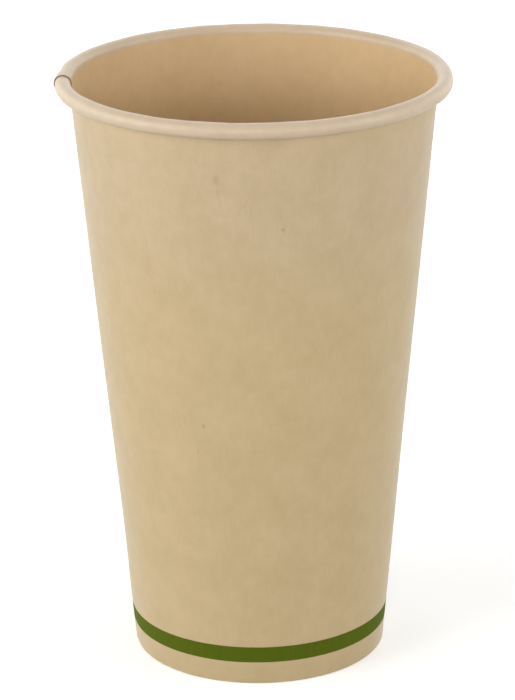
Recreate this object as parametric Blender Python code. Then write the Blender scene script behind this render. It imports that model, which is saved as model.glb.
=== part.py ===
# Single-wall paper hot cup: a conical side wall wrapped from one blank, with a lapped seam, a rolled rim
# and a turned-in hem that grips the skirt of a recessed flat base.
# Metres, +Z up. The origin is on the table, under the middle of the foot.

import math
from collections import namedtuple

import bmesh
import bpy
from mathutils import Matrix, Vector

# Overall form
RIM_DIAMETER = 0.0895
CUP_HEIGHT = 0.1384
FOOT_DIAMETER = 0.0585

# Paper, films, and the space left between layers that touch
WALL_PAPER = 0.00035
BASE_PAPER = 0.0003
COATING = 0.00005
SEAL = 0.00005
INK = 0.00005
LAYER_GAP = 0.00005

# Rolled rim: its section's outside diameter, and the space from its tucked end to the lapped wall
ROLL_DIAMETER = 0.0034
ROLL_END_GAP = 0.0003

# Side seam: where the blank's inner edge lies, turned from +X, and how far the outer end laps over it
SEAM_ANGLE = math.radians(183)
LAP_WIDTH = 0.008

# Foot: table to the underside of the base, inside radii of the folds, and the spaces that end hem and skirt
BASE_RECESS = 0.0085
FOLD_INSIDE = 0.0001
BEND_INSIDE = 0.0004
HEM_TO_BASE = 0.0015
SKIRT_TO_FOLD = 0.0003

# Printed band on the outside, above the foot
BAND_LOW = 0.0055
BAND_WIDTH = 0.0039

# Facets: columns round the cup and across the lap, and rows up the wall, round the roll and round each fold
COLUMNS = 50
LAP_COLUMNS = 3
WALL_ROWS = 5
ROLL_ROWS = 10
FOLD_ROWS = 3

# Faces that meet at more than this angle show an edge, and points closer than this are one point
EDGE_ANGLE = math.radians(40)
SAME_POINT = 1e-7

# Finishes: linear colour and roughness
BAMBOO_PAPER = ((0.60, 0.45, 0.27), 0.85)
BASE_BOARD = ((0.58, 0.43, 0.25), 0.85)
BARRIER_COAT = ((0.56, 0.40, 0.23), 0.45)
HEAT_SEAL = ((0.62, 0.52, 0.38), 0.5)
GREEN_INK = ((0.085, 0.125, 0.008), 0.6)

# Layers that follow from those sizes
LAP_GAP = SEAL + 2 * LAYER_GAP
LAP_STEP = WALL_PAPER + LAP_GAP
POCKET = BASE_PAPER + 2 * (SEAL + 2 * LAYER_GAP)

# The wall's outer face runs from the foot's edge to touch the roll's inside, which sets the taper
ROLL_RADIUS = (ROLL_DIAMETER - WALL_PAPER) / 2
ROLL_CENTRE = Vector(((RIM_DIAMETER - ROLL_DIAMETER) / 2, CUP_HEIGHT - ROLL_DIAMETER / 2))
FOOT_EDGE = Vector((FOOT_DIAMETER / 2, 0))
REACH = ROLL_CENTRE - FOOT_EDGE
TAPER = math.atan2(REACH.x, REACH.y) - math.asin((ROLL_RADIUS - WALL_PAPER / 2) / REACH.length)
UP = Vector((math.sin(TAPER), math.cos(TAPER)))
OUT = Vector((math.cos(TAPER), -math.sin(TAPER)))
ALONG = Vector((1, 0))
WALL_TOP = ROLL_CENTRE - OUT * ROLL_RADIUS

# One row of a profile: its middle point (radius, height), its heading, the radius at which the lap is
# measured, and how far the row rises where the lap doubles the fold
Row = namedtuple("Row", "point heading lap_radius lift")


def left_of(heading):
    return Vector((-heading.y, heading.x))


def arc(start, heading, radius, turn, steps):
    """Points and headings along an arc. A positive turn is to the left."""
    side = math.copysign(radius, turn)
    centre = start + left_of(heading) * side
    headings = [Matrix.Rotation(turn * i / steps, 2) @ heading for i in range(steps + 1)]
    return [(centre - left_of(h) * side, h) for h in headings]


def rounded_corner(corner, before, after, radius):
    """Points and headings round a corner between two straight runs."""
    turn = math.atan2(before.x * after.y - before.y * after.x, before.dot(after))
    tangent = radius * math.tan(abs(turn) / 2)
    return arc(corner - before * tangent, before, radius, turn, FOLD_ROWS)


def wall_middle(height):
    """The middle of the wall's paper at a height."""
    return WALL_TOP + UP * (height - WALL_TOP.y) / UP.y


def wall_row(height):
    point = wall_middle(height)
    return Row(point, UP, point.x, 0)


def fold_rows():
    """The blank's middle line down the hem and across the fold that the cup stands on."""
    radius = FOLD_INSIDE + WALL_PAPER / 2
    wall_corner = wall_middle(WALL_PAPER / 2)
    hem_corner = wall_corner - ALONG * (WALL_PAPER + POCKET) / UP.y
    hem_top = hem_corner + UP * (BASE_RECESS - HEM_TO_BASE - hem_corner.y) / UP.y
    path = [(hem_top, -UP)]
    path += rounded_corner(hem_corner, -UP, ALONG, radius)
    path += rounded_corner(wall_corner, ALONG, UP, radius)
    return [Row(point, heading, wall_corner.x, LAP_STEP / UP.y) for point, heading in path]


def roll_rows():
    """The blank's middle line round the rim's roll, from the top of the wall to the tucked end."""
    tuck = WALL_PAPER / 2 + LAP_STEP + ROLL_END_GAP
    turn = math.acos((ROLL_RADIUS - tuck) / (ROLL_RADIUS + WALL_PAPER / 2)) - 2 * math.pi
    path = arc(WALL_TOP, UP, ROLL_RADIUS, turn, ROLL_ROWS)
    return [Row(point, heading, WALL_TOP.x, 0) for point, heading in path]


def wall_rows(low, high):
    """The blank's middle line up the wall, between the fold and the roll."""
    return [wall_row(low + (high - low) * i / WALL_ROWS) for i in range(1, WALL_ROWS)]


def base_rows():
    """The base's middle line: out along the disc, round the bend and down the skirt."""
    inside_wall = WALL_PAPER / 2 + SEAL + 2 * LAYER_GAP + BASE_PAPER / 2
    height = BASE_RECESS + BASE_PAPER / 2
    wall = wall_middle(height)
    corner = wall - ALONG * inside_wall / OUT.x
    skirt_low = WALL_PAPER + LAP_STEP + SKIRT_TO_FOLD
    path = [(Vector((0, height)), ALONG)]
    path += rounded_corner(corner, ALONG, -UP, BEND_INSIDE + BASE_PAPER / 2)
    path += [(corner - UP * (height - skirt_low) / UP.y, -UP)]
    return [Row(point, heading, wall.x, 0) for point, heading in path]


def column_angle(column, lap_radius):
    """How far a column has turned from the blank's inner edge."""
    lap_angle = LAP_WIDTH / lap_radius
    widest_lap = LAP_WIDTH / FOOT_EDGE.x
    plain = COLUMNS - LAP_COLUMNS
    step = (2 * math.pi - widest_lap) / plain
    if column <= LAP_COLUMNS:
        return lap_angle * column / LAP_COLUMNS
    if column <= COLUMNS:
        return widest_lap + step * (column - LAP_COLUMNS)
    return 2 * math.pi + lap_angle * (column - COLUMNS) / LAP_COLUMNS


def column_loop(rows, column, faces, lapped):
    """The section of a layer at one column: up one face, row by row, and back down the other."""
    over = LAP_STEP if lapped and column >= COLUMNS else 0
    doubled = lapped and (column <= LAP_COLUMNS or column >= COLUMNS)
    loop = []
    for face, course in zip(faces, (rows, rows[::-1])):
        for row in course:
            point = row.point - left_of(row.heading) * (over + face)
            point += UP * row.lift * doubled
            angle = SEAM_ANGLE - column_angle(column, row.lap_radius)
            loop.append(Vector((point.x * math.cos(angle), point.x * math.sin(angle), point.y)))
    return loop


def draw_back(loop, towards):
    """Moves an end section in by one gap, clear of the edge it lies against."""
    return [p + (q - p).normalized() * LAYER_GAP for p, q in zip(loop, towards)]


def make_finish(name, finish):
    colour, roughness = finish
    material = bpy.data.materials.new(name)
    material.use_nodes = True
    shader = material.node_tree.nodes["Principled BSDF"]
    shader.inputs["Base Color"].default_value = (*colour, 1)
    shader.inputs["Roughness"].default_value = roughness
    shader.inputs["Metallic"].default_value = 0
    return material


def make_piece(name, loops, closed, finish):
    """Skins a row of sections into one closed solid: a ring, or a strip with both ends capped."""
    bm = bmesh.new()
    rings = [[bm.verts.new(point) for point in loop] for loop in loops]
    size = len(loops[0])
    pairs = list(zip(rings, rings[1:]))
    if closed:
        pairs.append((rings[-1], rings[0]))
    for here, there in pairs:
        for i in range(size):
            j = (i + 1) % size
            bm.faces.new((here[i], here[j], there[j], there[i]))
    if not closed:
        for end in (rings[0], rings[-1]):
            for i in range(size // 2 - 1):
                bm.faces.new((end[i], end[i + 1], end[size - 2 - i], end[size - 1 - i]))
    bmesh.ops.remove_doubles(bm, verts=bm.verts, dist=SAME_POINT)
    bmesh.ops.recalc_face_normals(bm, faces=bm.faces)
    mesh = bpy.data.meshes.new(name)
    bm.to_mesh(mesh)
    bm.free()
    mesh.shade_smooth()
    mesh.set_sharp_from_angle(angle=EDGE_ANGLE)
    mesh.materials.append(make_finish(name, finish))
    piece = bpy.data.objects.new(name, mesh)
    bpy.context.collection.objects.link(piece)
    return piece


def wrapped(name, rows, first, last, faces, finish, inset=True):
    """A layer of the wrapped blank, from one column to another."""
    loops = [column_loop(rows, column, faces, True) for column in range(first, last + 1)]
    if inset:
        loops[0] = draw_back(loops[0], loops[1])
        loops[-1] = draw_back(loops[-1], loops[-2])
    return make_piece(name, loops, False, finish)


def turned(name, rows, faces, finish):
    """A full ring or disc, in the same columns as the blank."""
    loops = [column_loop(rows, column, faces, False) for column in range(COLUMNS)]
    return make_piece(name, loops, True, finish)


def paper_faces(paper):
    return (paper / 2, -paper / 2)


def film_faces(paper, film, side):
    """Both faces of a film that lies one gap off a sheet's face, on its right (1) or left (-1)."""
    near = paper / 2 + LAYER_GAP
    return (side * (near + film), side * near)


def make_papers(blank, base):
    """The two sheets: the wrapped side wall with its roll and hem, and the base with its skirt."""
    last = COLUMNS + LAP_COLUMNS
    wall = wrapped("side_wall", blank, 0, last, paper_faces(WALL_PAPER), BAMBOO_PAPER, inset=False)
    disc = turned("base_disc", base, paper_faces(BASE_PAPER), BASE_BOARD)
    return [wall, disc]


def make_seals(blank, base):
    """The seal in the lap, and the skirt's two: against the wall up to the bend, and against the hem."""
    lap = wrapped("side_seam_bond", blank, 0, LAP_COLUMNS, film_faces(WALL_PAPER, SEAL, 1), HEAT_SEAL)
    skirt_foot = base[-1].point.y
    bend_end = base[-2].point.y
    hem_edge = blank[0].point.y
    against_wall = [wall_row(skirt_foot), wall_row(bend_end)]
    outer = turned("base_bond_outer", against_wall, film_faces(WALL_PAPER, SEAL, -1), HEAT_SEAL)
    to_hem = OUT * (WALL_PAPER + POCKET)
    against_hem = [wall_row(skirt_foot), wall_row(hem_edge)]
    against_hem = [row._replace(point=row.point - to_hem) for row in against_hem]
    inner = turned("base_bond_inner", against_hem, film_faces(WALL_PAPER, SEAL, 1), HEAT_SEAL)
    return [lap, outer, inner]


def make_linings(wall, roll, base):
    """The barrier coating: on the wall from the base to the roll, and on the flat of the base."""
    lined = [wall_row(BASE_RECESS + BASE_PAPER)] + wall + roll[:1]
    on_wall = wrapped("wall_lining", lined, 0, COLUMNS, film_faces(WALL_PAPER, COATING, -1), BARRIER_COAT)
    on_base = turned("base_lining", base[:2], film_faces(BASE_PAPER, COATING, -1), BARRIER_COAT)
    return [on_wall, on_base]


def make_band():
    """The printed band, from the lap's outer edge round to itself."""
    rows = [wall_row(BAND_LOW), wall_row(BAND_LOW + BAND_WIDTH)]
    last = COLUMNS + LAP_COLUMNS
    return wrapped("printed_band", rows, LAP_COLUMNS, last, film_faces(WALL_PAPER, INK, 1), GREEN_INK)


def build():
    for old in list(bpy.data.objects):
        bpy.data.objects.remove(old, do_unlink=True)
    fold = fold_rows()
    roll = roll_rows()
    wall = wall_rows(fold[-1].point.y, WALL_TOP.y)
    blank = fold + wall + roll
    base = base_rows()
    pieces = make_papers(blank, base) + make_seals(blank, base)
    pieces += make_linings(wall, roll, base) + [make_band()]
    cup = bpy.data.objects.new("cup", None)
    bpy.context.collection.objects.link(cup)
    for piece in pieces:
        piece.parent = cup


build()
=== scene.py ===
import math

import bmesh
import bpy
import numpy as np
from mathutils import Matrix, Vector


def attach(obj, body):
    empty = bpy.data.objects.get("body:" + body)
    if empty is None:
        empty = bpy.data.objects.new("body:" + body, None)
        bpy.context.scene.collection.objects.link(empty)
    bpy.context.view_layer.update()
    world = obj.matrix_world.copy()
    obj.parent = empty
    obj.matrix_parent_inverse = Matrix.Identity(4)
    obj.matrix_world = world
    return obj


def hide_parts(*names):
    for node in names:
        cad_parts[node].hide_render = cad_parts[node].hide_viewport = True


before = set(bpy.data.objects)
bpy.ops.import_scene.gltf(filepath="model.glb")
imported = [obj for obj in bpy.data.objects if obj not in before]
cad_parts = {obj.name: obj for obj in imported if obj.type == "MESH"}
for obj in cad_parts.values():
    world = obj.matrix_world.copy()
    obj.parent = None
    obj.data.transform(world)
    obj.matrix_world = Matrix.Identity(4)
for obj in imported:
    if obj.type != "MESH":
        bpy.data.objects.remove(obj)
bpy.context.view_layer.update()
print("frame:", ", ".join(sorted(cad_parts)))


# Form of the cup in metres, as its solids have it
cup = dict(
    rim=0.0895, height=0.1384, foot=0.0585,
    roll=0.0034,                     # outside of the rolled rim's section
    wallPaper=0.00035, basePaper=0.0003,
    seam=math.radians(183),          # the blank's inner edge, turned from +X
    lap=0.008, lapGap=0.00003,       # width of the lap, and the room for its seal
    pressed=0.17,                    # how much thinner the lap's two papers are
    pocket=0.0006,                   # from wall to hem, for the skirt of the base
    recess=0.0085,                   # from the table to the underside of the base
    foldInside=0.0001, bendInside=0.0004,
    hemToBase=0.0015, skirtLow=0.00115,
    columns=432, lapColumns=24,
)

fullTurn = 2 * math.pi
halfPaper = cup["wallPaper"] / 2
halfBoard = cup["basePaper"] / 2
rollRadius = (cup["roll"] - cup["wallPaper"]) / 2
rollCentre = np.array([(cup["rim"] - cup["roll"]) / 2, cup["height"] - cup["roll"] / 2])
reach = rollCentre - (cup["foot"] / 2, 0)
taper = math.atan2(reach[0], reach[1])
taper -= math.asin((rollRadius - halfPaper) / np.hypot(*reach))
up = np.array([math.sin(taper), math.cos(taper)])
out = np.array([math.cos(taper), -math.sin(taper)])
level = np.array([1.0, 0.0])
wallTop = rollCentre - out * rollRadius
lapStep = cup["wallPaper"] * (1 - cup["pressed"]) + cup["lapGap"]
lastColumn = cup["columns"] + cup["lapColumns"]


def smooth(share):
    share = np.clip(share, 0, 1)
    return share * share * (3 - 2 * share)


def leftOf(heading):
    return np.stack([-heading[..., 1], heading[..., 0]], -1)


# Lines of a section: points (radius, height) and headings
def straight(start, end, steps):
    share = np.linspace(0, 1, steps + 1)[:, None]
    heading = (end - start) / np.hypot(*(end - start))
    return start + share * (end - start), np.tile(heading, (steps + 1, 1))


def arc(start, heading, radius, turn, steps):
    turns = np.linspace(0, turn, steps + 1)
    cosine, sine = np.cos(turns), np.sin(turns)
    across = cosine * heading[0] - sine * heading[1]
    along = sine * heading[0] + cosine * heading[1]
    headings = np.stack([across, along], -1)
    side = math.copysign(radius, turn)
    return start + (leftOf(heading) - leftOf(headings)) * side, headings


def corner(at, before, after, radius, steps):
    turn = math.atan2(before[0] * after[1] - before[1] * after[0], before @ after)
    back = radius * math.tan(abs(turn) / 2)
    return arc(at - before * back, before, radius, turn, steps)


def wallMiddle(height):
    return wallTop + up * (height - wallTop[1]) / up[1]


# Rows of a section. lapRadius is where the lap's width is measured, lift is 1 where the doubled fold
# rises off the table, share is how much of the lap's step goes to the left of the sheet, curl is 1 where
# the paper is rolled, bead grows along the roll, and lip is 1 where the seam's edge stands out from it
def rowsOf(path, lapRadius=None, lift=0.0, share=0.0, curl=0.0, bead=0.0, lip=0.0):
    points, headings = path
    count = len(points)
    radius = points[:, 0] if lapRadius is None else np.full(count, lapRadius)
    rows = dict(point=points, heading=headings, lapRadius=radius)
    for name, value in dict(lift=lift, share=share, curl=curl, bead=bead, lip=lip).items():
        rows[name] = np.zeros(count) + value
    return rows


def joinRows(*parts):
    parts = [parts[0]] + [{key: rows[key][1:] for key in rows} for rows in parts[1:]]
    return {key: np.concatenate([rows[key] for rows in parts]) for key in parts[0]}


# The side wall's sheet: how it is drawn, and how far from true it lies
sheet = dict(
    hemRows=10, foldRows=7, flatRows=2, wallRows=32, topRows=10, rollRows=36,
    rollEndGap=0.00012,              # from the roll's tucked end to the wall
    topRun=0.006, curlRun=0.005,     # top of the wall, drawn finer, and where the roll takes over
    lapFade=0.009, lapRise=0.0035,   # girth over which the sheet settles after the lap, and climbs onto it
    lapPress=0.0015,                 # girth over which it is pressed thin
    beadFade=0.007,                  # girth over which the rolled lap sinks in behind the seam's edge
    lip=0.00005, lipFade=0.003,      # how far the bead stands out at that edge
    lipThin=0.6, lipThinRun=0.0008,  # and how much the edge is thinned from below
    lipUnder=0.00005,                # how much closer the paper beneath comes to it
    footShare=0.35, wallShare=0.75,  # part of the lap's step that lies inside the cup
    liftFade=0.012,                  # height at which the wall no longer rises at the lap
    shareRise=(0.011, 0.030),        # heights between which the lap's step moves inside
    beadGrows=70, lipGrows=90,       # degrees of roll over which it grows loose, and its edge stands out
    ripple=0.00006, beadRipple=0.000025,
    # the wall's waves: share, waves around and their phase, radians in a metre of height and their phase
    waves=[(1, 3, 0.7, 41, 0.4), (0.7, 5, -1.1, 63, 1.9 + math.pi / 2), (0.5, 8, 2.3, 97, -0.8)],
    beadWaves=[(1, 7, 0), (0.8, 17, 1.3), (0.6, 31, 0.4)],     # the bead's: share, waves around, phase
    footHold=0.03,                   # height over which the foot holds them flat
    rimHold=0.05, rimShare=0.35,     # depth over which the rim does, and the share that it leaves
    rippleFrom=0.02,                 # radius from which the paper is uneven, clear of the base's centre
    waist=0.00008, waistAt=(0.008, 0.028, 0.075),   # the wall draws in a little above the base
    swell=0.055,                     # how much looser the roll lies than it was made
    # places where the rim is out of round: turn from +X and half width in degrees, and distance
    outOfRound=[(0, 10, -0.0001), (30, 22, 0.0002), (174, 8, -0.00035), (200, 32, 0.00022),
                (232, 30, 0.00015), (346, 16, 0.00012)],
    roundBelow=(0.1, 0.135),         # heights over which the wall follows it
    ribs=84, ribDepth=0.00006,       # pressed lines inside the hem
    ribFrom=0.0012, ribTo=0.0008, ribFade=0.0006,   # clear of the table and of the hem's edge
)


def foldPaths():
    radius = cup["foldInside"] + halfPaper
    wallCorner = wallMiddle(halfPaper)
    hemCorner = wallCorner - level * (cup["wallPaper"] + cup["pocket"]) / up[1]
    hemTop = hemCorner + up * (cup["recess"] - cup["hemToBase"] - hemCorner[1]) / up[1]
    hemFold = corner(hemCorner, -up, level, radius, sheet["foldRows"])
    wallFold = corner(wallCorner, level, up, radius, sheet["foldRows"])
    hem = straight(hemTop, hemFold[0][0], sheet["hemRows"])
    return hem, hemFold, straight(hemFold[0][-1], wallFold[0][0], sheet["flatRows"]), wallFold


def wallRowsFrom(start, steps):
    split = wallTop - up * sheet["topRun"]
    low = straight(start, split, steps)
    high = straight(split, wallTop, sheet["topRows"])
    lift = 1 - smooth(low[0][:, 1] / sheet["liftFade"])
    curl = smooth(1 - (wallTop - high[0]) @ up / sheet["curlRun"])
    begin, end = sheet["shareRise"]
    inward = smooth((low[0][:, 1] - begin) / (end - begin))
    share = sheet["footShare"] + (sheet["wallShare"] - sheet["footShare"]) * inward
    return joinRows(rowsOf(low, lift=lift, share=share), rowsOf(high, share=sheet["wallShare"], curl=curl))


def rollRowsAll():
    tuck = halfPaper + lapStep + sheet["rollEndGap"]
    turn = math.acos((rollRadius - tuck) / (rollRadius + halfPaper)) - fullTurn
    path = arc(wallTop, up, rollRadius, turn, sheet["rollRows"])
    rolled = np.degrees(np.linspace(0, -turn, sheet["rollRows"] + 1))
    return rowsOf(path, wallTop[0], share=sheet["wallShare"], curl=1,
                  bead=smooth(rolled / sheet["beadGrows"]), lip=smooth(rolled / sheet["lipGrows"]))


def ripple(angle, height):
    free = smooth((cup["height"] - height) / sheet["rimHold"])
    hold = smooth(height / sheet["footHold"]) * (sheet["rimShare"] + (1 - sheet["rimShare"]) * free)
    waves = 0
    for share, around, start, rise, riseStart in sheet["waves"]:
        waves = waves + share * np.sin(around * angle + start) * np.sin(height * rise + riseStart)
    low, middle, high = sheet["waistAt"]
    waist = smooth((height - low) / (middle - low)) * smooth((high - height) / (high - middle))
    return sheet["ripple"] * hold * waves - sheet["waist"] * waist


def beadRipple(angle):
    waves = [share * np.sin(around * angle + start) for share, around, start in sheet["beadWaves"]]
    return sheet["beadRipple"] * sum(waves)


def outOfRound(angle, height):
    total = 0
    for turn, wide, far in sheet["outOfRound"]:
        away = np.abs((np.degrees(angle) - turn + 180) % 360 - 180)
        total = total + far * smooth(1 - away / wide)
    low, high = sheet["roundBelow"]
    return total * smooth((height - low) / (high - low))


# The roll grows out and down from the top of the wall
def looseRoll(rows):
    inner = np.array([rollCentre[0] - cup["roll"] / 2, cup["height"]])
    return rows["point"] + sheet["swell"] * rows["bead"][:, None] * (rows["point"] - inner)


def ribLines(angle, height):
    low, high = sheet["ribFrom"], cup["recess"] - cup["hemToBase"] - sheet["ribTo"]
    reached = smooth((height - low) / sheet["ribFade"]) * smooth((high - height) / sheet["ribFade"])
    return sheet["ribDepth"] * reached * (0.5 + 0.5 * np.cos(sheet["ribs"] * angle))


# Turns of the columns from the blank's inner edge, row by row: the inner lap, the plain wall, the outer lap
def blankTurns(rows, first, last):
    column = np.arange(first, last + 1)[:, None]
    lapTurn = cup["lap"] / rows["lapRadius"][None]
    lapColumns, columns = cup["lapColumns"], cup["columns"]
    inner = lapTurn * column / lapColumns
    plain = lapTurn + (fullTurn - lapTurn) * (column - lapColumns) / (columns - lapColumns)
    outer = fullTurn + lapTurn * (column - columns) / lapColumns
    return np.where(column <= lapColumns, inner, np.where(column <= columns, plain, outer))


def ringTurns(rows, columns):
    return np.repeat(np.linspace(0, fullTurn, columns, endpoint=False)[:, None], len(rows["point"]), 1)


# Points over (columns, rows) at a distance to the right of a section's middle line
def placeFace(rows, turns, right, lift=0.0, push=0.0):
    angle = cup["seam"] - turns
    right = right - rows["bead"] * beadRipple(angle)
    point = looseRoll(rows) - leftOf(rows["heading"]) * right[..., None]
    point = point + up * np.asarray(lift)[..., None]
    height = point[..., 1]
    uneven = ripple(angle, height) + outOfRound(angle, height) + push
    radius = point[..., 0] + uneven * smooth(point[..., 0] / sheet["rippleFrom"])
    return np.stack([radius * np.cos(angle), radius * np.sin(angle), height], -1)


# One face of a plain ring, and one of the wrapped sheet: on its right (1) or left (-1), and clear of it
def ringFace(rows, turns, right):
    return placeFace(rows, turns, right + 0 * turns)


def sheetFace(rows, turns, side, clear=0.0):
    girth = turns * rows["lapRadius"]
    after = girth - fullTurn * rows["lapRadius"]
    inner = 1 - smooth((girth - cup["lap"]) / sheet["lapFade"])
    outer = smooth(1 + after / sheet["lapRise"])
    sunk = lambda run: rows["share"] * (1 - rows["curl"] * smooth(run / sheet["beadFade"]))
    over = lapStep * (outer * (1 - sunk(after)) - inner * sunk(girth))
    under = np.abs(after)
    stands = np.maximum(1 - smooth(girth / sheet["lipFade"]), 1 - smooth(under / sheet["lipFade"]))
    push = sheet["lip"] * stands + sheet["lipUnder"] * (1 - smooth(under / sheet["lipThinRun"]))
    push = push * rows["lip"]
    lift = rows["lift"] * lapStep * (1 - rows["share"]) / up[1] * np.maximum(inner, outer)
    inLap = 1 - smooth((girth - cup["lap"]) / sheet["lapPress"]) + smooth(1 + after / sheet["lapPress"])
    thick = halfPaper * (1 - cup["pressed"] * inLap)
    thinned = sheet["lipThin"] * rows["lip"] * (1 - smooth(girth / sheet["lipThinRun"]))
    offset = side * (thick + clear)
    if side > 0:
        offset = offset - 2 * thick * thinned
    return placeFace(rows, turns, over + offset, lift, push)


# Closes two faces of a layer into one skin. The third result is 1 for faces on a cut edge. A disc's first
# row is all at its centre, where addPiece joins the points
def skin(front, back, ring, disc=False):
    columns, rows = front.shape[:2]
    f = np.arange(columns * rows).reshape(columns, rows)
    b = f + columns * rows
    if ring:
        f, b = (np.concatenate([grid, grid[:1]]) for grid in (f, b))
    quads = lambda *corners: np.stack(corners, -1).reshape(-1, 4)
    sides = [quads(f[:-1, :-1], f[:-1, 1:], f[1:, 1:], f[1:, :-1]),
             quads(b[:-1, :-1], b[1:, :-1], b[1:, 1:], b[:-1, 1:])]
    ends = [quads(f[:-1, 0], f[1:, 0], b[1:, 0], b[:-1, 0]),
            quads(f[1:, -1], f[:-1, -1], b[:-1, -1], b[1:, -1])]
    if disc:
        ends = ends[1:]
    if not ring:
        ends += [quads(f[0, 1:], f[0, :-1], b[0, :-1], b[0, 1:]),
                 quads(f[-1, :-1], f[-1, 1:], b[-1, 1:], b[-1, :-1])]
    points = np.concatenate([front.reshape(-1, 3), back.reshape(-1, 3)])
    faces = np.concatenate(sides + ends)
    cut = np.repeat([0, 1], [sum(map(len, sides)), sum(map(len, ends))])
    p, q, r, s = (points[faces[:, i]] for i in range(4))
    volume = np.einsum("ij,ij->", p, np.cross(q, r) + np.cross(r, s))
    return points, faces if volume > 0 else faces[:, ::-1], cut


# Points nearer than weld are one, and an edge bent by more than sharp stays crisp
meshing = dict(weld=1e-8, sharp=math.radians(42))


def addPiece(name, made, materials, node):
    points, faces, cut = made
    mesh = bpy.data.meshes.new(name)
    mesh.from_pydata(points.tolist(), [], faces.tolist())
    for material in materials:
        mesh.materials.append(material)
    if len(materials) > 1:
        mesh.polygons.foreach_set("material_index", cut.astype(np.int32))
    form = bmesh.new()
    form.from_mesh(mesh)
    bmesh.ops.remove_doubles(form, verts=form.verts, dist=meshing["weld"])
    form.to_mesh(mesh)
    form.free()
    mesh.update()
    mesh.shade_smooth()
    mesh.set_sharp_from_angle(angle=meshing["sharp"])
    piece = bpy.data.objects.new(name, mesh)
    bpy.context.scene.collection.objects.link(piece)
    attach(piece, "root")
    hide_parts(node)
    print("piece:", name, len(mesh.vertices), "points")
    return piece


# A socket in a material. Arithmetic on wires adds Math nodes, and node() adds any other
class Wire:
    def __init__(self, tree, socket=None):
        self.tree = tree
        self.socket = socket

    def node(self, kind, settings=None, sockets=None, give=0):
        made = self.tree.nodes.new("ShaderNode" + kind)
        for name, value in (settings or {}).items():
            setattr(made, name, value)
        for name, value in (sockets or {}).items():
            if isinstance(value, Wire):
                self.tree.links.new(value.socket, made.inputs[name])
            else:
                made.inputs[name].default_value = value
        return Wire(self.tree, made.outputs[give])

    def maths(self, operation, *values):
        return self.node("Math", dict(operation=operation), dict(enumerate(values)))

    def __add__(self, other):
        return self.maths("ADD", self, other)

    def __mul__(self, other):
        return self.maths("MULTIPLY", self, other)

    def __pow__(self, other):
        return self.maths("POWER", self, other)

    __radd__ = __add__

    def between(self, low, high):
        ends = {"Value": self, "From Min": low, "From Max": high}
        return self.node("MapRange", dict(interpolation_type="SMOOTHSTEP"), ends)

    def mix(self, first, second, blend="MIX"):
        pick = lambda value: value if isinstance(value, Wire) else (*value, 1)
        return self.node("Mix", dict(data_type="RGBA", blend_type=blend),
                         {0: self, 6: pick(first), 7: pick(second)}, 2)

    def stretch(self, scale):
        return self.node("VectorMath", dict(operation="MULTIPLY"), {0: self, 1: scale})

    def noise(self, size, detail, roughness):
        values = dict(Vector=self, Scale=1 / size, Detail=detail, Roughness=roughness)
        return self.node("TexNoise", None, values)

    def axes(self):
        return [self.node("SeparateXYZ", None, {"Vector": self}, give) for give in range(3)]

    def fromAxis(self):
        x, y = self.axes()[:2]
        return (x * x + y * y) ** 0.5


def newFinish(name, **fixed):
    material = bpy.data.materials.new(name)
    material.use_nodes = True
    tree = material.node_tree
    shader = tree.nodes["Principled BSDF"]
    for socket, value in fixed.items():
        shader.inputs[socket.replace("_", " ")].default_value = value
    start = Wire(tree)
    place = start.node("TexCoord", None, None, "Object").stretch((1000, 1000, 1000))   # millimetres
    return material, shader, place


def feed(shader, **wires):
    for socket, wire in wires.items():
        wire.tree.links.new(wire.socket, shader.inputs[socket.replace("_", " ")])


# A pair is a value, and what the wire adds to it
def vary(wire, pair):
    return wire * pair[1] + pair[0]


def bump(height, strength, distance):
    return height.node("Bump", None, {"Strength": strength, "Distance": distance, "Height": height})


# Paper of the side wall. Lengths in finishes are in millimetres, apart from a bump's distance
bambooPaper = dict(
    # The top colour is painted light: above the heights given with it, in millimetres, the wall turns paler
    # and bluer as painted glare
    colour=(0.593, 0.455, 0.258), paintedGlareColour=(0.593, 0.459, 0.287), paintedGlareFrom=(80, 120),
    darker=(0.895, 0.88, 0.83), cloud=0.45, formation=0.35, grain=0.22,
    roughness=(0.62, 0.08), specular=0.22, sheen=0.75, sheenRoughness=0.4, sheenTint=(1, 0.94, 0.83, 1),
    bump=(0.35, 0.00002), relief=(0.6, 0.4),
    fleck=(0.42, 0.34, 0.2), fleckDeep=2, fleckEdge=(1, 0.2),
    strays=[(7, 0, 0.1), (2.5, 5, 0.07)],      # stray flecks: size of their cells, seed, depth
    # placed flecks: turn from the front in degrees, height, width, length, lean in degrees, depth
    flecks=[
        (-12.0, 124.65, 1.3, 1.9, 0, 0.16), (-12.0, 124.6, 0.5, 1.5, 0, 0.12),
        (-11.7, 122.2, 0.55, 2.2, -4, 0.10), (-11.2, 119.4, 0.45, 1.8, -6, 0.08),
        (8.6, 113.1, 0.6, 0.5, 30, 0.28), (8.0, 116.4, 0.6, 2.0, 3, 0.08),
        (-4.4, 118.3, 0.4, 0.4, 0, 0.14), (-2.9, 119.6, 0.4, 1.3, 28, 0.10),
        (24.1, 109.8, 0.3, 0.3, 0, 0.16), (13.6, 93.5, 0.3, 0.3, 0, 0.16),
        (-20.2, 65.25, 0.55, 0.9, -15, 0.32), (-23.0, 58.9, 0.4, 1.0, 10, 0.20),
        (30.4, 41.5, 0.35, 0.35, 0, 0.14), (-5.0, 133.2, 0.4, 0.5, 0, 0.14),
    ],
)


def placedFlecks(place, values):
    total = 0
    for turn, height, width, length, lean, depth in values["flecks"]:
        angle = math.radians(turn)
        radius = (wallMiddle(height / 1000)[0] + halfPaper) * 1000
        spot = dict(Vector=place, Location=(radius * math.sin(angle), -radius * math.cos(angle), height),
                    Rotation=(-taper, math.radians(lean), angle),
                    Scale=(width, values["fleckDeep"], length))
        local = place.node("Mapping", dict(vector_type="TEXTURE"), spot)
        away = place.node("VectorMath", dict(operation="LENGTH"), {0: local}, "Value")
        total = total + away.between(*values["fleckEdge"]) * depth
    return total


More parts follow.
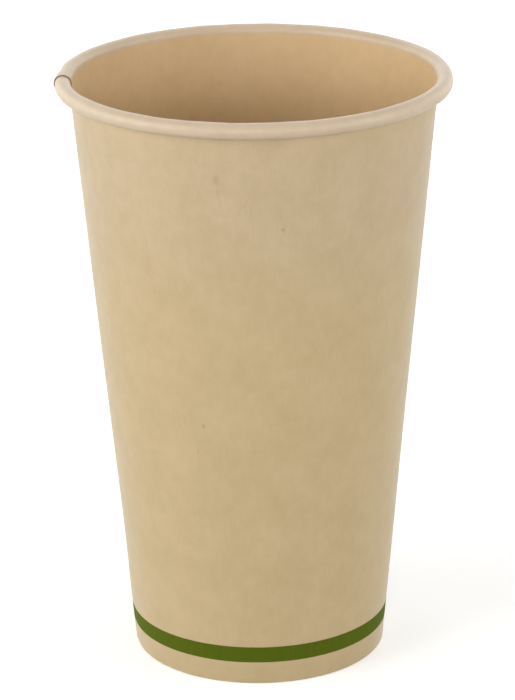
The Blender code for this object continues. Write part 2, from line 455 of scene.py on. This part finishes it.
# Pulp: the size, detail and roughness of its noises, how its grain runs up the sheet, and its contrast
fibre = dict(cloud=(9, 3, 0.55), formation=(2.8, 3, 0.55), grain=(0.55, 2, 0.6), run=(1, 1, 0.13),
             contrast=(0.3, 0.7))


def pulp(place, values):
    cloud = place.noise(*fibre["cloud"]).between(*fibre["contrast"])
    formation = place.noise(*fibre["formation"]).between(*fibre["contrast"])
    grain = place.stretch(fibre["run"]).noise(*fibre["grain"]).between(*fibre["contrast"])
    shade = cloud * values["cloud"] + formation * values["formation"] + grain * values["grain"]
    return shade, formation, grain


# Stray flecks: how they run up the sheet, which of the cells have one, and the fleck's edge in its cell
stray = dict(run=(1, 1, 0.45), chosen=(0.55, 0.9), edge=(0.13, 0.03))


def strayFlecks(place, values):
    total = 0
    for size, seed, depth in values["strays"]:
        spread = place.node("VectorMath", dict(operation="ADD"), {0: place, 1: (seed, seed * 2, seed * 3)})
        cells = dict(Vector=spread.stretch(stray["run"]), Scale=1 / size)
        away = place.node("TexVoronoi", None, cells, "Distance")
        pick = place.node("TexVoronoi", None, cells, "Color")
        some = place.node("SeparateColor", None, {"Color": pick}, 0).between(*stray["chosen"])
        total = total + away.between(*stray["edge"]) * some * depth
    return total


def makeBambooPaper(values):
    nap = dict(Sheen_Weight=values["sheen"], Sheen_Roughness=values["sheenRoughness"],
               Sheen_Tint=values["sheenTint"])
    material, shader, place = newFinish("bambooPaper", Specular_IOR_Level=values["specular"], **nap)
    shade, formation, grain = pulp(place, values)
    flecks = placedFlecks(place, values) + strayFlecks(place, values)
    # Painted glare: the top of the wall is mixed towards a paler, bluer colour
    colour = place.axes()[2].between(*values["paintedGlareFrom"]).mix(values["colour"], values["paintedGlareColour"])
    colour = shade.mix(colour, values["darker"], "MULTIPLY")
    colour = flecks.mix(colour, values["fleck"], "MULTIPLY")
    broad, fine = values["relief"]
    relief = bump(formation * broad + grain * fine, *values["bump"])
    feed(shader, Base_Color=colour, Roughness=vary(formation, values["roughness"]), Normal=relief)
    return material


# The bare edge where the blank was cut. Its dark brown is partly the bare fibre and partly painted shade,
# for the shadow in the gap at the seam's edge
rawEdgeAndGapShade = dict(
    colour=(0.24, 0.18, 0.10), paler=(0.42, 0.32, 0.20), roughness=(0.9, -0.1), bump=(0.5, 0.00003),
    fibres=(0.12, 3, 0.7), contrast=(0.3, 0.75),
)


def makeRawEdgeAndGapShade(values):
    material, shader, place = newFinish("rawEdgeAndGapShade")
    fibres = place.noise(*values["fibres"])
    colour = fibres.between(*values["contrast"]).mix(values["colour"], values["paler"])
    feed(shader, Base_Color=colour, Roughness=vary(fibres, values["roughness"]),
         Normal=bump(fibres, *values["bump"]))
    return material


# The satin barrier coating, over the inside of the wall, the rolled rim and the top of the base
barrierCoating = dict(
    colour=(0.686, 0.485, 0.26), darker=(0.915, 0.90, 0.865), cloud=0.35, formation=0.45, grain=0.2,
    # The rim's colour is partly the coating stretched pale over the roll and partly painted sheen: the bead
    # is drawn paler and greyer for the light that falls on it from above
    rimPaleCoatAndSheenColour=(0.608, 0.475, 0.33), rimCoat=0.45, coatRoughness=0.42,
    rimFrom=(-0.7, 0.1), rimEdge=0.3,          # from the wall's top, and from the roll's middle
    roughness=(0.50, 0.05), bump=(0.25, 0.00002), relief=(0.5, 0.5),
    fleck=(0.42, 0.34, 0.2), strays=[(7, 2, 0.12)],
)


# 1 on the rolled rim, from where the wall starts to curl
def onRim(place, values):
    top, middle = wallTop[1] * 1000, rollCentre[0] * 1000
    begin, end = values["rimFrom"]
    curled = place.axes()[2].between(top + begin, top + end)
    outside = place.fromAxis().between(middle - values["rimEdge"], middle + values["rimEdge"])
    return place.maths("MAXIMUM", curled, outside)


def makeBarrierCoating(values):
    material, shader, place = newFinish("barrierCoating", Coat_Roughness=values["coatRoughness"])
    shade, formation, grain = pulp(place, values)
    rim = onRim(place, values)
    # On the rim the colour is partly pale stretched coating and partly painted sheen
    colour = shade.mix(rim.mix(values["colour"], values["rimPaleCoatAndSheenColour"]), values["darker"], "MULTIPLY")
    colour = strayFlecks(place, values).mix(colour, values["fleck"], "MULTIPLY")
    broad, fine = values["relief"]
    relief = bump(formation * broad + grain * fine, *values["bump"])
    feed(shader, Base_Color=colour, Roughness=vary(formation, values["roughness"]),
         Coat_Weight=rim * values["rimCoat"], Normal=relief)
    return material


# Paper of the base, seen from below
baseBoard = dict(
    colour=(0.54, 0.405, 0.233), darker=(0.86, 0.84, 0.80), cloud=0.4, formation=0.35, grain=0.25,
    roughness=(0.82, 0.06), bump=(0.4, 0.00002),
    fleck=(0.42, 0.34, 0.2), strays=[(6, 3, 0.16), (2.5, 8, 0.07)],
)


def makeBaseBoard(values):
    material, shader, place = newFinish("baseBoard")
    shade, formation, grain = pulp(place, values)
    colour = shade.mix(values["colour"], [a * b for a, b in zip(values["colour"], values["darker"])])
    colour = strayFlecks(place, values).mix(colour, values["fleck"], "MULTIPLY")
    feed(shader, Base_Color=colour, Roughness=vary(formation, values["roughness"]),
         Normal=bump(formation, *values["bump"]))
    return material


# Heat seal in the lap and along the skirt
heatSeal = dict(
    colour=(0.62, 0.52, 0.38), darker=(0.50, 0.40, 0.27), roughness=(0.5, 0.15), bump=(0.3, 0.00002),
    flow=(1.2, 3, 0.6), contrast=(0.3, 0.7),
)


def makeHeatSeal(values):
    material, shader, place = newFinish("heatSeal")
    flow = place.noise(*values["flow"])
    colour = flow.between(*values["contrast"]).mix(values["colour"], values["darker"])
    feed(shader, Base_Color=colour, Roughness=vary(flow, values["roughness"]),
         Normal=bump(flow, *values["bump"]))
    return material


# Printed ink of the band, thinner at pores in the paper and in streaks
greenInk = dict(
    colour=(0.0855, 0.119, 0.0042), thin=(0.14, 0.158, 0.028), specular=0.08,
    roughness=(0.65, 0.12), bump=(0.3, 0.00002),
    pores=(0.35, 2, 0.6), poreContrast=(0.58, 0.85), poreShare=0.5,
    lay=(1.4, 3, 0.6), layRun=(1, 1, 0.2), layContrast=(0.45, 0.8), layShare=0.25,
)


def makeGreenInk(values):
    material, shader, place = newFinish("greenInk", Specular_IOR_Level=values["specular"])
    pores = place.noise(*values["pores"]).between(*values["poreContrast"])
    lay = place.stretch(values["layRun"]).noise(*values["lay"])
    thin = pores * values["poreShare"] + lay.between(*values["layContrast"]) * values["layShare"]
    feed(shader, Base_Color=thin.mix(values["colour"], values["thin"]),
         Roughness=vary(lay, values["roughness"]), Normal=bump(lay, *values["bump"]))
    return material


paper = makeBambooPaper(bambooPaper)
edge = makeRawEdgeAndGapShade(rawEdgeAndGapShade)
coating = makeBarrierCoating(barrierCoating)
board = makeBaseBoard(baseBoard)
seal = makeHeatSeal(heatSeal)
ink = makeGreenInk(greenInk)
print("finishes made")


# Side wall: one sheet with its hem, fold, lapped wall and rolled rim
hem, hemFold, footFlat, wallFold = foldPaths()
footRadius = wallFold[0][0][0]
foldPath = (hem, hemFold, footFlat, wallFold)
foldRows = joinRows(*[rowsOf(path, footRadius, lift=1, share=sheet["footShare"]) for path in foldPath])
wallRows = wallRowsFrom(wallFold[0][-1], sheet["wallRows"])
rollRows = rollRowsAll()
blank = joinRows(foldRows, wallRows, rollRows)


def makeWall():
    turns = blankTurns(blank, 0, lastColumn)
    inHem = np.arange(len(blank["point"])) <= sheet["hemRows"]
    pressed = ribLines(cup["seam"] - turns, blank["point"][:, 1]) * inHem
    front = sheetFace(blank, turns, 1, -pressed)
    back = sheetFace(blank, turns, -1)
    return addPiece("cupWall", skin(front, back, False), [paper, edge], "side_wall")


# Base: a disc with its edge turned down as a skirt
base = dict(
    discRows=26, bendRows=8, skirtRows=10, columns=160, dome=0.0004, ripple=0.00007,
    # its waves: radians in a metre along X and Y with their phases, and a slanting wave with its share
    waveX=(130, 0.6), waveY=(110, -0.9), slant=(190, -170, 2), slantShare=0.6,
)


def baseRowsAll():
    middle = cup["recess"] + halfBoard
    toWall = (cup["wallPaper"] + cup["pocket"]) / 2
    at = wallMiddle(middle) - level * toWall / out[0]
    bend = corner(at, level, -up, cup["bendInside"] + halfBoard, base["bendRows"])
    disc = straight(np.array([0, middle]), bend[0][0], base["discRows"])
    foot = at - up * (middle - cup["skirtLow"]) / up[1]
    skirt = straight(bend[0][-1], foot, base["skirtRows"])
    return rowsOf(disc), rowsOf(bend), rowsOf(skirt)


# Bows the disc up in the middle, with a shallow unevenness, and leaves its edge alone
def bowed(points, edgeRadius):
    x, y = points[..., 0], points[..., 1]
    inside = smooth(1 - (np.hypot(x, y) / edgeRadius) ** 2)
    (acrossX, startX), (acrossY, startY) = base["waveX"], base["waveY"]
    slantX, slantY, start = base["slant"]
    waves = np.sin(acrossX * x + startX) * np.sin(acrossY * y + startY)
    waves = waves + base["slantShare"] * np.sin(slantX * x + slantY * y + start)
    points = points.copy()
    points[..., 2] += inside * (base["dome"] + base["ripple"] * waves)
    return points


discRows, bendRows, skirtRows = baseRowsAll()
baseSheet = joinRows(discRows, bendRows, skirtRows)
discEdge = discRows["point"][-1, 0]


def makeBase():
    turns = ringTurns(baseSheet, base["columns"])
    faces = [ringFace(baseSheet, turns, side * halfBoard) for side in (1, -1)]
    faces = [bowed(points, discEdge) for points in faces]
    return addPiece("cupBase", skin(*faces, True, True), [board, edge], "base_disc")


# Seals: in the lap, and on both sides of the skirt
seals = dict(clear=0.000008, lapFilm=0.000014, skirtFilm=0.00002)


def makeSeals():
    clear, thick = seals["clear"], seals["lapFilm"]
    turns = blankTurns(blank, 1, cup["lapColumns"] - 1)     # a column in from the lap's edges
    lap = [sheetFace(blank, turns, 1, gap) for gap in (clear + thick, clear)]
    addPiece("seamSeal", skin(*lap, False), [seal], "side_seam_bond")
    near = halfBoard + clear
    hemEdge = blank["point"][0, 1]
    below = skirtRows["point"][:, 1] < hemEdge
    gripped = {key: values[below] for key, values in skirtRows.items()}
    for name, rows, side, node in (("skirtSealOuter", skirtRows, -1, "base_bond_outer"),
                                   ("skirtSealInner", gripped, 1, "base_bond_inner")):
        turns = ringTurns(rows, base["columns"])
        skirt = [ringFace(rows, turns, side * face) for face in (near + seals["skirtFilm"], near)]
        addPiece(name, skin(*skirt, True), [seal], node)


# Barrier coating: up the wall and over the rolled rim, and on the flat of the base
film = dict(clear=0.000008, thick=0.00002, wallRows=44,
            underInset=0.00002, overInset=0.0001)      # from the blank's edge, and from the lap over it


def makeCoatings():
    start = wallMiddle(cup["recess"] + cup["basePaper"])
    rows = wallRowsFrom(start, film["wallRows"])
    rows["lift"][:] = 0
    rows = joinRows(rows, rollRows)
    turns = blankTurns(rows, 0, cup["columns"])
    radius = rows["lapRadius"]
    turns = np.clip(turns, film["underInset"] / radius, fullTurn - film["overInset"] / radius)
    faces = [sheetFace(rows, turns, -1, gap) for gap in (film["clear"] + film["thick"], film["clear"])]
    addPiece("wallCoating", skin(*faces, False), [coating], "wall_lining")
    rows = discRows
    turns = ringTurns(rows, base["columns"])
    near = halfBoard + film["clear"]
    faces = [bowed(ringFace(rows, turns, -face), discEdge) for face in (near + film["thick"], near)]
    addPiece("baseCoating", skin(*faces, True, True), [coating], "base_lining")


# Printed band: it drifts up a little on its way round, so its ends miss each other at the lap
band = dict(low=0.00563, width=0.00394, drift=0.0006, rows=6, clear=0.000008, thick=0.000012, inset=0.00006)


def makeBand():
    low, high = wallMiddle(band["low"]), wallMiddle(band["low"] + band["width"])
    rows = rowsOf(straight(low, high, band["rows"]), share=sheet["footShare"])
    turns = blankTurns(rows, cup["lapColumns"], lastColumn)
    inset = band["inset"] / rows["lapRadius"]
    lapTurn = cup["lap"] / rows["lapRadius"]
    turns = np.clip(turns, lapTurn + inset, fullTurn + lapTurn - inset)
    faces = [sheetFace(rows, turns, 1, gap) for gap in (band["clear"] + band["thick"], band["clear"])]
    front = cup["seam"] - math.radians(270) + fullTurn      # turn at which a column faces the front
    rise = -band["drift"] * (turns - front) / fullTurn
    slide = rise / up[1]
    angle = cup["seam"] - turns
    shift = np.stack([slide * up[0] * np.cos(angle), slide * up[0] * np.sin(angle), slide * up[1]], -1)
    faces = [points + shift for points in faces]
    return addPiece("greenBand", skin(*faces, False), [ink], "printed_band")


makeWall()
makeBase()
makeSeals()
makeCoatings()
makeBand()


# Camera, at the place from which the cup was seen
camera = dict(distance=0.8075, elevation=math.radians(19.78), middle=0.0692, lens=178.6,
              aimUp=0.00215, aimRight=0.0001, roll=math.radians(-0.615), sensor=36, clip=(0.01, 20))


def makeCamera():
    back = Vector((0, -math.cos(camera["elevation"]), math.sin(camera["elevation"])))
    above = Vector((0, math.sin(camera["elevation"]), math.cos(camera["elevation"])))
    middle = Vector((0, 0, camera["middle"]))
    place = middle + back * camera["distance"]
    aim = middle + above * camera["aimUp"] + Vector((camera["aimRight"], 0, 0))
    data = bpy.data.cameras.new("camera")
    data.lens = camera["lens"]
    data.sensor_width = camera["sensor"]
    data.clip_start, data.clip_end = camera["clip"]
    eye = bpy.data.objects.new("camera", data)
    look = (aim - place).to_track_quat("-Z", "Y").to_matrix().to_4x4()
    eye.matrix_world = Matrix.Translation(place) @ look @ Matrix.Rotation(camera["roll"], 4, "Z")
    bpy.context.scene.collection.objects.link(eye)
    bpy.context.scene.camera = eye


# Studio: a white surround, soft lamps, and a pale floor that keeps the shadow
studio = dict(
    ambient=0.05, floorSize=3.0, floorDrop=0.00004,
    floorColour=(0.9, 0.9, 0.9),               # as it is seen
    floorBounce=(0.59, 0.59, 0.59),            # as it lights the cup
    floorGlow=(0.38, 0.95), floorGlowFrom=(300, 1600),     # near the cup and far off, in millimetres
    lampDistance=1.1,
    # each lamp's turn from the front and rise in degrees, its size and its power
    lamps=dict(front=(0, 18, 0.3, 2.9), frontLeft=(-50, 20, 0.4, 0.95), leftFront=(-60, 20, 0.8, 5.43),
               left=(-90, 10, 0.8, 3.53), leftBack=(-135, 15, 0.8, 2.24), frontRight=(30, 18, 0.4, 0.8),
               rightFront=(65, 10, 0.8, 4.82), right=(90, 30, 0.8, 1.56), rightBack=(135, 15, 0.8, 2.09),
               back=(180, 20, 0.8, 1.3), backHigh=(180, 50, 0.8, 1.25), top=(0, 85, 0.8, 1.65)),
)


# 1 for rays that show the surround: to the camera, in gloss and through clear things
def shownRays(start):
    total = 0
    for ray in ("Is Camera Ray", "Is Glossy Ray", "Is Transmission Ray"):
        total = total + start.node("LightPath", None, None, ray)
    return total.maths("MINIMUM", total, 1.0)


def makeStudio():
    world = bpy.data.worlds.new("surround")
    bpy.context.scene.world = world
    world.use_nodes = True
    shown = shownRays(Wire(world.node_tree))
    feed(world.node_tree.nodes["Background"], Color=shown.mix([studio["ambient"]] * 3, (1, 1, 1)))

    for name, (turn, rise, size, power) in studio["lamps"].items():
        data = bpy.data.lights.new(name + "Lamp", "AREA")
        data.shape = "DISK"
        data.size = size
        data.energy = power
        light = bpy.data.objects.new(name + "Lamp", data)
        turn, rise = math.radians(turn), math.radians(rise)
        aim = Vector((-math.cos(rise) * math.sin(turn), math.cos(rise) * math.cos(turn), -math.sin(rise)))
        light.location = Vector((0, 0, camera["middle"])) - aim * studio["lampDistance"]
        light.rotation_euler = aim.to_track_quat("-Z", "Y").to_euler()
        light.visible_camera = False
        bpy.context.scene.collection.objects.link(light)

    size, drop = studio["floorSize"], studio["floorDrop"]
    mesh = bpy.data.meshes.new("floor")
    corners = [(-size, -size, -drop), (size, -size, -drop), (size, size, -drop), (-size, size, -drop)]
    mesh.from_pydata(corners, [], [(0, 1, 2, 3)])
    floor = bpy.data.objects.new("floor", mesh)
    bpy.context.scene.collection.objects.link(floor)
    flat = dict(Roughness=1.0, Specular_IOR_Level=0.0, Emission_Strength=1.0)
    material, shader, place = newFinish("paleFloor", **flat)
    shown = shownRays(place)
    glow = place.fromAxis().between(*studio["floorGlowFrom"])
    glow = glow.mix(*[[grey] * 3 for grey in studio["floorGlow"]])
    feed(shader, Base_Color=shown.mix(studio["floorBounce"], studio["floorColour"]),
         Emission_Color=shown.mix((0, 0, 0), glow))
    mesh.materials.append(material)


makeCamera()
makeStudio()
bpy.context.scene.view_settings.view_transform = "Standard"
print("camera, lamps and floor made")
